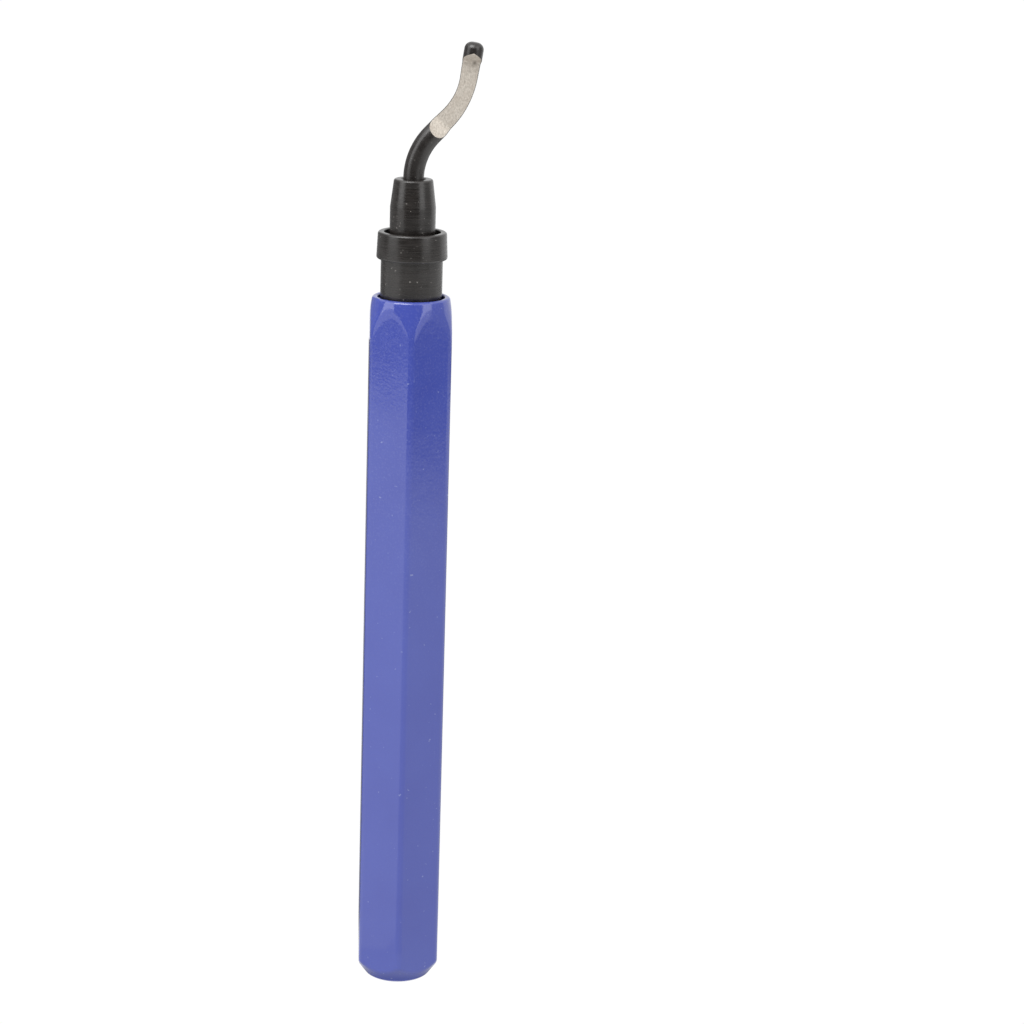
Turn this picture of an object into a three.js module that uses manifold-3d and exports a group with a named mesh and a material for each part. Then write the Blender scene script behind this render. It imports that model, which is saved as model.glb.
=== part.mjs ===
// Deburring tool with a quick-release chuck. Millimetres, +Z up.
//
// The handle is a hexagonal aluminium bar that stands on its butt face, with its axis on Z and
// one edge towards -Y. A turned steel chuck is seated in the bore at its front end and holds a
// bent blade by a necked round shank, so the blade can swivel freely about Z. Two balls in the
// chuck sit in the neck. A sprung sleeve keeps them there, and lets them out when it is drawn
// back towards the handle.

import * as THREE from 'three';
import { mergeVertices } from 'three/addons/utils/BufferGeometryUtils.js';
import Module from 'manifold-3d';

const wasm = await Module();
wasm.setup();

const TURN = 2 * Math.PI;
const degrees = THREE.MathUtils.degToRad;

// ---- Driving dimensions -------------------------------------------------------------------

const HANDLE = {
  acrossFlats: 12.7,
  length: 111.85,
  cornerRadius: 1.25,
  buttFaceRadius: 4.0,       // flat part of the butt end
  buttEdgeRadius: 1.6,       // round between the butt face and the butt cone
  buttSlope: 53,             // degrees between the butt cone and the butt face
  taperBottom: 107.0,        // where the front taper starts on the six edges
  taperSlope: 0.235,         // radius lost per mm along the front taper
  rimRound: 0.5,
  boreRadius: 5.2,
  boreFloor: 101.0,
  boreRimRound: 0.25,
  stemHoleRadius: 3.0,
  stemHoleBottom: 87.0,
  stemHoleTip: 85.8,
};

const CHUCK = {
  stemRadius: 2.95,
  stemBottom: 88.0,
  stemChamfer: 0.4,
  flangeRadius: 5.12,
  flangeThickness: 1.45,
  flangeChamfer: 0.2,
  bodyRadius: 3.54,
  noseShoulder: 125.8,       // where the nose cone starts
  noseTip: 130.1,
  noseTipRadius: 3.0,
  noseTipRound: 0.34,
  mouthChamfer: 0.3,
  boreRadius: 1.68,
  boreFloor: 100.4,
  boreTip: 99.8,
  ringGrooveRadius: 3.2,
};

const BLADE = {
  radius: 1.6,
  shankEnd: 100.6,
  shankChamfer: 0.3,
  neckHeight: 113.9,
  neckLength: 3.58,
  neckRadius: 1.08,
  bendStart: 130.2,
  outBendRadius: 9.8,
  outBendAngle: degrees(43.5),
  slantLength: 3.5,
  backBendRadius: 11.5,
  backBendAngle: degrees(35),
  tipLength: 5.5,
  tipRadius: 1.48,
  tipRound: 1.1,
  edgeThinning: 0.13,        // how much thinner the blade is at the middle of its cutting edge
  edgeMiddle: 15.4,          // measured along the blade from the start of the bend
  edgeHalfLength: 6.5,
  flatDepth: 0.5,            // the ground flat lies this far past the blade's centre plane
  flatStart: 7.58,
  flatEnd: 21.86,
  startRunOut: 2.7,          // length over which the wheel goes in
  endRunOut: 1.7,            // length over which it comes out
};

const BALL = {
  radius: 1.25,
  seatRadius: 2.4,           // from the tool's axis to a ball's centre when it locks the blade
  holeRadius: 1.3,
  holeLipRadius: 1.12,
  holeTaperTop: 2.25,
};

const CAM = { gap: 0.1, slope: 0.18 };   // the sleeve's inner cone, which the balls ride on

const SLEEVE = {
  bottom: 107.0,
  top: 121.95,
  skirtRadius: 4.8,
  skirtChamfer: 0.2,
  collarBottom: 117.75,
  collarLowRadius: 5.52,
  collarTopRadius: 5.33,
  collarRound: 0.32,
  mouthRadius: 4.38,
  mouthRound: 0.15,
  landRadius: 3.62,          // runs on the chuck body
  springSeat: 111.9,
  springChamberRadius: 4.25,
  camTop: 117.2,
  pocketTop: 118.0,
  frontLandBottom: 118.6,
  frontLandTop: 119.28,
};

const RETAINING_RING = {
  bottom: 119.34,
  thickness: 0.6,
  innerRadius: 3.25,
  outerRadius: 4.15,
  gapAngle: degrees(50),
  sideClearance: 0.05,
};

const SPRING = {
  wireRadius: 0.25,
  coilRadius: 3.9,
  turns: 7,
  closedPitch: 0.56,         // of the first and the last turn
  endClearance: 0.05,
};

const SIDES = { handle: 72, bore: 48, chuck: 40, blade: 20, ballHole: 20, springTurn: 20 };

const MATERIALS = {
  bluePaint: { color: 0x4c54a6, roughness: 0.35, metalness: 0.0 },
  blackOxide: { color: 0x35322f, roughness: 0.45, metalness: 0.7 },
  bladeSteel: { color: 0x4a4541, roughness: 0.35, metalness: 0.8 },
  springSteel: { color: 0x8d8d90, roughness: 0.3, metalness: 1.0 },
  polishedSteel: { color: 0xc9c9cc, roughness: 0.15, metalness: 1.0 },
};

// ---- Building blocks ----------------------------------------------------------------------

/** Points of a round stretch of a profile, [radius, height], about a centre. */
function arc(centreRadius, centreHeight, radius, fromDegrees, toDegrees, steps = 4) {
  const points = [];
  for (let i = 0; i <= steps; i++) {
    const angle = degrees(fromDegrees + ((toDegrees - fromDegrees) * i) / steps);
    points.push([centreRadius + radius * Math.cos(angle), centreHeight + radius * Math.sin(angle)]);
  }
  return points;
}

/** A solid of revolution about Z from [radius, height] points, lowest first on the outside. */
function turned(profile, sides) {
  const points = profile.map(([radius, height]) => new THREE.Vector2(Math.max(radius, 0), height));
  return new THREE.LatheGeometry(points, sides).rotateX(Math.PI / 2);
}

function toSolid(geometry) {
  const bare = geometry.clone();
  bare.deleteAttribute('normal');
  bare.deleteAttribute('uv');
  const merged = mergeVertices(bare, 1e-5);
  return new wasm.Manifold(new wasm.Mesh({
    numProp: 3,
    vertProperties: new Float32Array(merged.attributes.position.array),
    triVerts: new Uint32Array(merged.index.array),
  }));
}

function toGeometry(solid) {
  const mesh = solid.getMesh();
  const geometry = new THREE.BufferGeometry();
  geometry.setAttribute('position', new THREE.BufferAttribute(mesh.vertProperties, 3));
  geometry.setIndex(new THREE.BufferAttribute(mesh.triVerts, 1));
  geometry.computeVertexNormals();
  return geometry;
}

function named(name, geometry, material) {
  const mesh = new THREE.Mesh(geometry, new THREE.MeshStandardMaterial(material));
  mesh.name = name;
  return mesh;
}

// ---- Handle -------------------------------------------------------------------------------

/** Hexagon with rounded corners and one corner towards -Y. */
function hexagonOutline(acrossFlats, cornerRadius) {
  const outline = new THREE.Shape();
  const centreDistance = (acrossFlats / 2 - cornerRadius) / Math.cos(degrees(30));
  for (let corner = 0; corner < 6; corner++) {
    const angle = degrees(60 * corner - 90);
    const x = centreDistance * Math.cos(angle);
    const y = centreDistance * Math.sin(angle);
    outline.absarc(x, y, cornerRadius, angle - degrees(30), angle + degrees(30), false);
  }
  outline.closePath();
  return outline;
}

/** Turned shape that gives the bar its butt cone and its front taper. */
function handleEnvelope() {
  const h = HANDLE;
  const outside = h.acrossFlats / 2 / Math.cos(degrees(30)) + 0.5;
  const slope = degrees(h.buttSlope);
  const coneBase = h.buttFaceRadius + h.buttEdgeRadius * Math.tan(slope / 2);
  const coneTop = (outside - coneBase) * Math.tan(slope);
  const edgeRadius = (h.acrossFlats / 2 - h.cornerRadius) / Math.cos(degrees(30)) + h.cornerRadius;
  const taperRadius = (height) => edgeRadius - (height - h.taperBottom) * h.taperSlope;
  const taperStart = h.taperBottom - (outside - edgeRadius) / h.taperSlope;
  const rimRadius = taperRadius(h.length - h.rimRound);
  return turned([
    [0, 0],
    ...arc(h.buttFaceRadius, h.buttEdgeRadius, h.buttEdgeRadius, -90, h.buttSlope - 90, 5),
    [outside, coneTop],
    [outside, taperStart],
    ...arc(rimRadius - h.rimRound, h.length - h.rimRound, h.rimRound, 0, 90, 4),
    [0, h.length],
  ], SIDES.handle);
}

/** The bore for the chuck's flange and sleeve, and the deeper hole for its stem. */
function handleBore() {
  const h = HANDLE;
  const round = h.boreRimRound;
  return turned([
    [0, h.stemHoleTip],
    [h.stemHoleRadius, h.stemHoleBottom],
    [h.stemHoleRadius, h.boreFloor],
    [h.boreRadius, h.boreFloor],
    ...arc(h.boreRadius + round, h.length - round, round, 180, 90, 3),
    [h.boreRadius + round, h.length + 1],
    [0, h.length + 1],
  ], SIDES.bore);
}

function handle() {
  const outline = hexagonOutline(HANDLE.acrossFlats, HANDLE.cornerRadius);
  const bar = new THREE.ExtrudeGeometry(outline, {
    depth: HANDLE.length, bevelEnabled: false, curveSegments: 3,
  });
  const solid = toSolid(bar).intersect(toSolid(handleEnvelope())).subtract(toSolid(handleBore()));
  return named('handle', toGeometry(solid), MATERIALS.bluePaint);
}

// ---- Chuck body ---------------------------------------------------------------------------

/** Stem, flange and nosed tube, with the blind bore for the blade's shank. */
function chuckTurning() {
  const c = CHUCK;
  const flangeBottom = HANDLE.boreFloor + 0.05;
  const flangeTop = flangeBottom + c.flangeThickness;
  const grooveBottom = RETAINING_RING.bottom - RETAINING_RING.sideClearance;
  const grooveTop = RETAINING_RING.bottom + RETAINING_RING.thickness + RETAINING_RING.sideClearance;
  const round = c.noseTipRound;
  return turned([
    [0, c.stemBottom],
    [c.stemRadius - c.stemChamfer, c.stemBottom],
    [c.stemRadius, c.stemBottom + c.stemChamfer],
    [c.stemRadius, flangeBottom],
    [c.flangeRadius, flangeBottom],
    [c.flangeRadius, flangeTop - c.flangeChamfer],
    [c.flangeRadius - c.flangeChamfer, flangeTop],
    [c.bodyRadius, flangeTop],
    [c.bodyRadius, grooveBottom],
    [c.ringGrooveRadius, grooveBottom],
    [c.ringGrooveRadius, grooveTop],
    [c.bodyRadius, grooveTop],
    [c.bodyRadius, c.noseShoulder],
    ...arc(c.noseTipRadius - round, c.noseTip - round, round, 5, 90, 4),
    [c.boreRadius + c.mouthChamfer, c.noseTip],
    [c.boreRadius, c.noseTip - c.mouthChamfer],
    [c.boreRadius, c.boreFloor],
    [0, c.boreTip],
  ], SIDES.chuck);
}

/** Radial hole for one ball, with a lip that keeps the ball out of the empty bore. */
function ballHole(side) {
  const innerEnd = 1.0;
  const outerEnd = CHUCK.bodyRadius + 0.5;
  return turned([
    [0, innerEnd],
    [BALL.holeLipRadius, innerEnd],
    [BALL.holeLipRadius, CHUCK.boreRadius],
    [BALL.holeRadius, BALL.holeTaperTop],
    [BALL.holeRadius, outerEnd],
    [0, outerEnd],
  ], SIDES.ballHole).rotateY(side * Math.PI / 2).translate(0, 0, BLADE.neckHeight);
}

function chuckBody() {
  let solid = toSolid(chuckTurning());
  for (const side of [1, -1]) {
    solid = solid.subtract(toSolid(ballHole(side)));
  }
  return named('chuck_body', toGeometry(solid), MATERIALS.blackOxide);
}

// ---- Quick-release parts ------------------------------------------------------------------

function releaseSleeve() {
  const s = SLEEVE;
  const round = s.collarRound;
  const camRadius = (height) =>
    BALL.seatRadius + BALL.radius + CAM.gap + (height - BLADE.neckHeight) * CAM.slope;
  const camBottom = BLADE.neckHeight - (camRadius(BLADE.neckHeight) - s.landRadius) / CAM.slope;
  const profile = [
    [s.springChamberRadius, s.bottom],
    [s.skirtRadius - s.skirtChamfer, s.bottom],
    [s.skirtRadius, s.bottom + s.skirtChamfer],
    [s.skirtRadius, s.collarBottom],
    ...arc(s.collarLowRadius - round, s.collarBottom + round, round, -90, 0, 4),
    ...arc(s.collarTopRadius - round, s.top - round, round, 5, 90, 4),
    ...arc(s.mouthRadius + s.mouthRound, s.top - s.mouthRound, s.mouthRound, 90, 180, 2),
    [s.mouthRadius, s.frontLandTop],
    [s.landRadius, s.frontLandTop],
    [s.landRadius, s.frontLandBottom],
    [camRadius(s.camTop), s.pocketTop],
    [camRadius(s.camTop), s.camTop],
    [s.landRadius, camBottom],
    [s.landRadius, s.springSeat],
    [s.springChamberRadius, s.springSeat],
    [s.springChamberRadius, s.bottom],
  ];
  return named('release_sleeve', turned(profile, SIDES.chuck), MATERIALS.blackOxide);
}

/** Open steel ring, in the chuck body's groove, that stops the sleeve from leaving forwards. */
function retainingRing() {
  const r = RETAINING_RING;
  const gapCentre = degrees(90);
  const start = gapCentre + r.gapAngle / 2;
  const end = gapCentre - r.gapAngle / 2 + TURN;
  const outline = new THREE.Shape();
  outline.absarc(0, 0, r.outerRadius, start, end, false);
  outline.absarc(0, 0, r.innerRadius, end, start, true);
  outline.closePath();
  const ring = new THREE.ExtrudeGeometry(outline, {
    depth: r.thickness, bevelEnabled: false, curveSegments: 18,
  });
  return named('retaining_ring', ring.translate(0, 0, r.bottom), MATERIALS.springSteel);
}

/** Centreline of a compression spring whose first and last turns are closed. */
class SpringLine extends THREE.Curve {
  constructor(bottom, top) {
    super();
    this.bottom = bottom;
    this.activePitch = (top - bottom - 2 * SPRING.closedPitch) / (SPRING.turns - 2);
  }

  getPoint(t, target = new THREE.Vector3()) {
    const turn = t * SPRING.turns;
    const closed = Math.min(turn, 1) + Math.max(turn - (SPRING.turns - 1), 0);
    const height = this.bottom + closed * SPRING.closedPitch + (turn - closed) * this.activePitch;
    const angle = turn * TURN;
    const x = SPRING.coilRadius * Math.cos(angle);
    const y = SPRING.coilRadius * Math.sin(angle);
    return target.set(x, y, height);
  }
}

function sleeveSpring() {
  const flangeTop = HANDLE.boreFloor + 0.05 + CHUCK.flangeThickness;
  const margin = SPRING.endClearance + SPRING.wireRadius;
  const line = new SpringLine(flangeTop + margin, SLEEVE.springSeat - margin);
  line.arcLengthDivisions = 1000;
  const section = new THREE.Shape();
  section.absarc(0, 0, SPRING.wireRadius, 0, TURN, false);
  const wire = new THREE.ExtrudeGeometry(section, {
    steps: SPRING.turns * SIDES.springTurn, extrudePath: line, curveSegments: 3,
  });
  return named('sleeve_spring', wire, MATERIALS.springSteel);
}

function detentBalls() {
  return [1, -1].map((side, index) => {
    const ball = named(
      `detent_ball_${index + 1}`, new THREE.SphereGeometry(BALL.radius, 16, 12), MATERIALS.polishedSteel,
    );
    ball.position.set(side * BALL.seatRadius, 0, BLADE.neckHeight);
    return ball;
  });
}

// ---- Blade --------------------------------------------------------------------------------

const bentLength = BLADE.outBendRadius * BLADE.outBendAngle + BLADE.slantLength
  + BLADE.backBendRadius * BLADE.backBendAngle + BLADE.tipLength;

/** Place and lean (from +Z towards +X) of the blade's centreline, by length along the bend. */
function bladeLine(along) {
  const b = BLADE;
  const walk = { x: 0, z: b.bendStart, lean: 0, left: along };
  const straight = (length) => {
    const step = Math.min(walk.left, length);
    walk.x += step * Math.sin(walk.lean);
    walk.z += step * Math.cos(walk.lean);
    walk.left -= step;
  };
  const bend = (radius, angle) => {
    const step = Math.min(walk.left, radius * Math.abs(angle));
    const side = Math.sign(angle);
    const next = walk.lean + (side * step) / radius;
    walk.x += side * radius * (Math.cos(walk.lean) - Math.cos(next));
    walk.z += side * radius * (Math.sin(next) - Math.sin(walk.lean));
    walk.lean = next;
    walk.left -= step;
  };
  bend(b.outBendRadius, b.outBendAngle);
  straight(b.slantLength);
  bend(b.backBendRadius, -b.backBendAngle);
  straight(Infinity);
  return walk;
}

/** A point beside the bent centreline: `aside` is measured square to it, towards +X. */
function besideBlade(along, aside) {
  const { x, z, lean } = bladeLine(along);
  return new THREE.Vector2(x + aside * Math.cos(lean), z - aside * Math.sin(lean));
}

/** The rod's radius: it falls a little from the flat's start to the tip, and dips at the edge. */
function bladeRadius(along) {
  const b = BLADE;
  const tipShare = THREE.MathUtils.clamp((along - b.flatStart) / (bentLength - b.flatStart), 0, 1);
  const t = (along - b.edgeMiddle) / b.edgeHalfLength;
  const dipShare = Math.abs(t) < 1 ? Math.cos((Math.PI / 2) * t) ** 2 : 0;
  return b.radius - (b.radius - b.tipRadius) * tipShare - b.edgeThinning * dipShare;
}

/** The blade before it is bent: a turned rod with a chamfered end, a neck and a rounded tip. */
function straightRod() {
  const b = BLADE;
  const depth = b.radius - b.neckRadius;
  const neckCurve = (b.neckLength ** 2 / 4 + depth ** 2) / (2 * depth);
  const halfAngle = THREE.MathUtils.radToDeg(Math.asin(b.neckLength / 2 / neckCurve));
  const neckCentre = b.neckRadius + neckCurve;
  const tip = b.bendStart + bentLength;
  const profile = [
    [0, b.shankEnd],
    [b.radius - b.shankChamfer, b.shankEnd],
    [b.radius, b.shankEnd + b.shankChamfer],
    ...arc(neckCentre, b.neckHeight, neckCurve, 180 + halfAngle, 180 - halfAngle, 8),
  ];
  const stations = 30;
  for (let i = 0; i < stations; i++) {
    const along = ((bentLength - b.tipRound) * i) / stations;
    profile.push([bladeRadius(along), b.bendStart + along]);
  }
  profile.push(...arc(b.tipRadius - b.tipRound, tip - b.tipRound, b.tipRound, 0, 90, 4), [0, tip]);
  return turned(profile, SIDES.blade);
}

/** Bends the rod: its height above the start of the bend becomes length along the centreline. */
function bendRod(rod) {
  const position = rod.attributes.position;
  for (let i = 0; i < position.count; i++) {
    const along = position.getZ(i) - BLADE.bendStart;
    if (along > 0) {
      const place = besideBlade(along, position.getX(i));
      position.setX(i, place.x);
      position.setZ(i, place.y);
    }
  }
  return rod;
}

/** Depth of the ground surface past the centre plane, by share of the run-out at the shank's end. */
function startDepth(share) {
  const fall = BLADE.flatDepth + BLADE.radius + 0.05;
  return BLADE.flatDepth - fall * (1 - share) ** 2;
}

/** The same at the tip's end, where the wheel leaves the rod gently and the flat ends in a point. */
function endDepth(share) {
  const fall = BLADE.flatDepth + bladeRadius(BLADE.flatEnd);
  return BLADE.flatDepth - fall * (1 - share ** 2 * (3 - 2 * share));
}

/** What the grinding wheel takes away: down to the flat, with a curved run-out at each end. */
function flatCutter() {
  const b = BLADE;
  const reach = 2.2;
  const steps = 8;
  const straightSteps = 16;
  const straightStart = b.flatStart + b.startRunOut;
  const straightEnd = b.flatEnd - b.endRunOut;
  const ground = [];
  for (let i = 0; i < steps; i++) {
    ground.push([b.flatStart + (b.startRunOut * i) / steps, startDepth(i / steps)]);
  }
  for (let i = 0; i <= straightSteps; i++) {
    ground.push([straightStart + ((straightEnd - straightStart) * i) / straightSteps, b.flatDepth]);
  }
  for (let i = steps - 1; i >= 0; i--) {
    ground.push([b.flatEnd - (b.endRunOut * i) / steps, endDepth(i / steps)]);
  }
  const front = ground.map(([along]) => [along, -reach]).reverse();
  const outline = new THREE.Shape([...ground, ...front].map(([along, y]) => new THREE.Vector2(along, y)));
  const cutter = new THREE.ExtrudeGeometry(outline, { depth: 2 * reach, bevelEnabled: false });
  const position = cutter.attributes.position;
  for (let i = 0; i < position.count; i++) {
    const place = besideBlade(position.getX(i), reach - position.getZ(i));
    position.setX(i, place.x);
    position.setZ(i, place.y);
  }
  return cutter;
}

function blade() {
  const solid = toSolid(bendRod(straightRod())).subtract(toSolid(flatCutter()));
  return named('blade', toGeometry(solid), MATERIALS.bladeSteel);
}

// ---- Assembly -----------------------------------------------------------------------------

const tool = new THREE.Group();
tool.add(
  handle(), chuckBody(), releaseSleeve(), retainingRing(), sleeveSpring(), ...detentBalls(), blade(),
);

export default tool;
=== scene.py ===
"""Looks of the deburring tool: painted hexagonal handle, quick-release chuck and swivelling blade.

The tool stands on its butt with its axis on Z. Its sizes are in millimetres and are turned into
metres where a mesh is made. The studio round it and the grain of the materials are in metres.
"""

import math

import bpy
from mathutils import Matrix, Vector


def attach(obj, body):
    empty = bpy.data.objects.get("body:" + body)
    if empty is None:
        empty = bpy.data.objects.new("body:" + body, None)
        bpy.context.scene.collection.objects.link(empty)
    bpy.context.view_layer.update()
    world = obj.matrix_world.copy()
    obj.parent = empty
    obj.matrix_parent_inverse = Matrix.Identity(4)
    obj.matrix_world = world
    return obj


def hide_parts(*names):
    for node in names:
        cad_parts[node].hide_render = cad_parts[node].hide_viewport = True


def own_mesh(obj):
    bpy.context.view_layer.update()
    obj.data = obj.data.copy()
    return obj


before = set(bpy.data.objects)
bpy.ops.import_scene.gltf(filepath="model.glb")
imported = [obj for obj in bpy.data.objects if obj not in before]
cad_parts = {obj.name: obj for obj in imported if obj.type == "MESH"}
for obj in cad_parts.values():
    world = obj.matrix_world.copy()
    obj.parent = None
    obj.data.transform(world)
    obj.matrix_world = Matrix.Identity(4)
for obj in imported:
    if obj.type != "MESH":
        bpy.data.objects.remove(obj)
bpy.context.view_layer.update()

MM = 0.001
TURN = 2 * math.pi
NEAR_AXIS = 0.02           # radius of the smallest ring of a turned profile
CREASE = math.radians(30)  # edges sharper than this are drawn sharp

# ---- Dimensions ---------------------------------------------------------------------------

ACROSS_FLATS = 12.7
HALF_SECTOR = math.radians(30)      # from a corner of the hexagon to the middle of a flat
HANDLE_LENGTH = 111.85
HEX_CORNER_RADIUS = 1.25
BUTT_FACE_RADIUS = 4.0
BUTT_EDGE_RADIUS = 1.6
BUTT_SLOPE = math.radians(53)
TAPER_BOTTOM = 107.0
TAPER_SLOPE = 0.235        # loss of radius for each millimetre of height
RIM_ROUND = 0.5
RIM_START_ANGLE = 12       # degrees, where the rim's round leaves the taper
BORE_RADIUS = 5.2
BORE_FLOOR = 101.0
BORE_RIM_ROUND = 0.25
STEM_HOLE_RADIUS = 3.0
STEM_HOLE_BOTTOM = 87.0
STEM_HOLE_TIP = 85.8
EDGE_SOFTNESS = 0.30       # of the paint over the edges of the taper and of the butt cone
OVERSIZE = 0.6             # of the turned outside past the hexagon's corners, before it is cut

# Chuck, from the stem's end to the nose's mouth.
STEM_END = 88.0
STEM_RADIUS = 2.95
FLANGE_BOTTOM = 101.05
FLANGE_TOP = 102.5
FLANGE_RADIUS = 5.12
TUBE_RADIUS = 3.54
GROOVE_BOTTOM = 119.29
GROOVE_TOP = 119.99
GROOVE_RADIUS = 3.2
NOSE_START = 125.8
NOSE_START_ROUND = 2.5
NOSE_TIP = 130.1
NOSE_TIP_RADIUS = 3.0
NOSE_TIP_ROUND = 0.34
MOUTH_RADIUS = 1.98
MOUTH_DEPTH = 0.3
BLADE_BORE_RADIUS = 1.68
BLADE_BORE_END = 100.4
BLADE_BORE_TIP = 99.8

# Release sleeve, from the skirt up to the collar and back down inside.
SKIRT_BOTTOM = 107.0
SKIRT_RADIUS = 4.8
SKIRT_INNER_RADIUS = 4.25
SPRING_SEAT = 111.9
SLIDING_RADIUS = 3.62      # on the chuck's tube, with room to slide
CAM_START = 113.178        # the cone that lets the balls out as the sleeve goes back
POCKET_BOTTOM = 117.2
POCKET_TOP = 118.0
POCKET_RADIUS = 4.344
POCKET_CLOSED = 118.6
RING_SEAT = 119.28
COLLAR_BOTTOM = 117.75
COLLAR_TOP = 121.95
COLLAR_RADIUS = 5.52
COLLAR_TOP_RADIUS = 5.33
RECESS_RADIUS = 4.38

RING_BOTTOM = 119.34
RING_TOP = 119.94
RING_INNER_RADIUS = 3.25
RING_OUTER_RADIUS = 4.15
RING_BEVEL = 0.05
RING_GAP = math.radians(50)

SPRING_WIRE_RADIUS = 0.25
SPRING_COIL_RADIUS = 3.9
SPRING_TURNS = 7
SPRING_CLOSED_PITCH = 0.56
SPRING_BOTTOM = 102.8      # of the wire's middle, as is the top
SPRING_TOP = 111.6

NECK_HEIGHT = 113.9
BLADE_RADIUS = 1.6
SHANK_END = 100.6
SHANK_BEVEL = 0.3
NECK_LENGTH = 3.58
NECK_RADIUS = 1.08
BEND_START = 130.2
OUT_BEND_RADIUS = 9.8
OUT_BEND_ANGLE = math.radians(43.5)
SLANT_LENGTH = 3.5
BACK_BEND_RADIUS = 11.5
BACK_BEND_ANGLE = math.radians(35)
TIP_LENGTH = 5.5
TIP_RADIUS = 1.48
TIP_ROUND = 1.1
BENT_LENGTH = (
    OUT_BEND_RADIUS * OUT_BEND_ANGLE + SLANT_LENGTH + BACK_BEND_RADIUS * BACK_BEND_ANGLE + TIP_LENGTH
)

# The ground flat and the thinner rod beside it; lengths are from the start of the first bend.
EDGE_THINNING = 0.13
EDGE_MIDDLE = 15.4
EDGE_HALF_LENGTH = 6.5
FLAT_DEPTH = 0.5           # past the rod's middle
FLAT_START = 7.58
FLAT_END = 21.86
FLAT_START_RAMP = 2.7
FLAT_END_RAMP = 1.7
# Centre of the dark spot on the flat: partly a stain, partly painted shade over the end ramp.
STAIN_AND_SHADE_ALONG = 20.3
STAIN_AND_SHADE_ASIDE = 0.5

BALL_RADIUS = 1.25
BALL_SEAT_RADIUS = 2.4
BALL_HOLE_RADIUS = 1.3
BALL_LIP_RADIUS = 1.12     # keeps the ball out of the empty bore
BALL_LIP_HEIGHT = 1.68
BALL_HOLE_FULL = 2.25      # where the hole has its full radius, from the axis


# ---- Mesh helpers -------------------------------------------------------------------------

def link_object(name, data):
    """A new object in the scene, with a mesh, light or camera in it."""
    thing = bpy.data.objects.new(name, data)
    bpy.context.scene.collection.objects.link(thing)
    return thing


def make_mesh(name, points, faces):
    """A mesh from points in metres and faces that count them from 0."""
    mesh = bpy.data.meshes.new(name)
    mesh.from_pydata(points, [], faces)
    return mesh


def make_piece(name, points, faces, body, nodes):
    """A smooth-shaded mesh from millimetre points, which rides on a body and stands for CAD nodes."""
    mesh = make_mesh(name, [Vector(p) * MM for p in points], faces)
    mesh.validate()
    mesh.polygons.foreach_set("use_smooth", [True] * len(mesh.polygons))
    mesh.set_sharp_from_angle(angle=CREASE)
    piece = link_object(name, mesh)
    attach(piece, body)
    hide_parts(*nodes)
    return piece


def arc(centre_r, centre_z, radius, start, end, steps):
    """Profile points on an arc; angles in degrees, 0 outwards and 90 up."""
    points = []
    for i in range(steps + 1):
        a = math.radians(start + (end - start) * i / steps)
        points.append((centre_r + radius * math.cos(a), centre_z + radius * math.sin(a)))
    return points


def filleted(corners, steps=6):
    """Profile from (radius, height, round) corners; an arc replaces each whose round isn't 0."""
    count = len(corners)
    profile = []
    for i, (r, z, fillet) in enumerate(corners):
        ends = i in (0, count - 1)
        if ends or fillet == 0:
            profile.append((r, z))
            continue
        here = Vector((r, z))
        before = Vector(corners[i - 1][:2])
        after = Vector(corners[i + 1][:2])
        a = (before - here).normalized()
        b = (after - here).normalized()
        half = a.angle(b) / 2
        reach = fillet / math.tan(half)
        centre = here + (a + b).normalized() * (fillet / math.sin(half))
        from_arm = here + a * reach - centre
        to_arm = here + b * reach - centre
        sweep = from_arm.angle_signed(to_arm)
        for k in range(steps + 1):
            arm = from_arm.copy()
            arm.rotate(Matrix.Rotation(-sweep * k / steps, 2))
            profile.append(tuple(centre + arm))
    return profile


def ring_faces(rows, sides, closed=False):
    """Quads between rows of `sides` points; closed joins the last row to the first."""
    faces = []
    for i in range(rows if closed else rows - 1):
        low = i * sides
        high = ((i + 1) % rows) * sides
        for j in range(sides):
            k = (j + 1) % sides
            faces.append((low + j, low + k, high + k, high + j))
    return faces


def capped_faces(rows, sides):
    """Faces of a solid from rows that go round it anticlockwise, seen from its last row."""
    first_cap = tuple(reversed(range(sides)))
    last_cap = tuple((rows - 1) * sides + j for j in range(sides))
    return ring_faces(rows, sides) + [first_cap, last_cap]


def swept_faces(steps, sides):
    """Faces of a section swept in so many steps, from sections that go round it clockwise."""
    faces = [tuple(range(sides)), tuple(steps * sides + j for j in reversed(range(sides)))]
    for i in range(steps):
        for j in range(sides):
            k = (j + 1) % sides
            faces.append((i * sides + j, (i + 1) * sides + j, (i + 1) * sides + k, i * sides + k))
    return faces


def lathe(profile, sides, closed=False):
    """Points and faces of a solid turned about Z, from (radius, height) with the solid inside."""
    points = []
    for r, z in profile:
        for j in range(sides):
            a = TURN * j / sides
            points.append((r * math.cos(a), r * math.sin(a), z))
    if closed:
        return points, ring_faces(len(profile), sides, closed=True)
    return points, capped_faces(len(profile), sides)


def spread(start, end, count):
    """Evenly spaced numbers from start to end, without the end."""
    return [start + (end - start) * i / count for i in range(count)]


# ---- Materials ----------------------------------------------------------------------------

MICRON = 0.000001
DUST = (0.30, 0.28, 0.26)


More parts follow.
